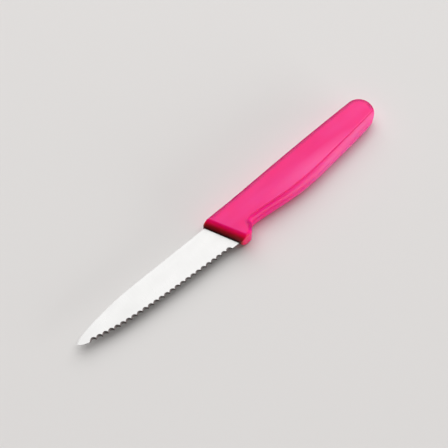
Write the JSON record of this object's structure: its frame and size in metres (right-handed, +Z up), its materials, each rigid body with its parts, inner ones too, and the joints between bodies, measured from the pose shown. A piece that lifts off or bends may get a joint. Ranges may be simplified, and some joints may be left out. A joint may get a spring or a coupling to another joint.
{
  "type": "tomato knife",
  "caption": "Small kitchen knife with a scalloped steel blade for soft fruit, its tang held in a one-piece moulded plastic handle with a finger notch and a stepped belly.",
  "frame": {"origin": "middle of the knife's length and height, on the surface that it lies on", "axes": "the knife lies on its side: +X from the point to the butt, +Y from the cutting edge to the spine, +Z up through its thickness, out of the scalloped face"},
  "size_m": [0.2146, 0.0242, 0.0128],
  "materials": {
    "blade_steel": "finely ground satin stainless steel",
    "handle_plastic": "raspberry pink moulded polypropylene, fine matt texture on the side faces"
  },
  "bodies": {
    "root": {"blade": "blade_steel", "handle": "handle_plastic"}
  },
  "joints": []
}
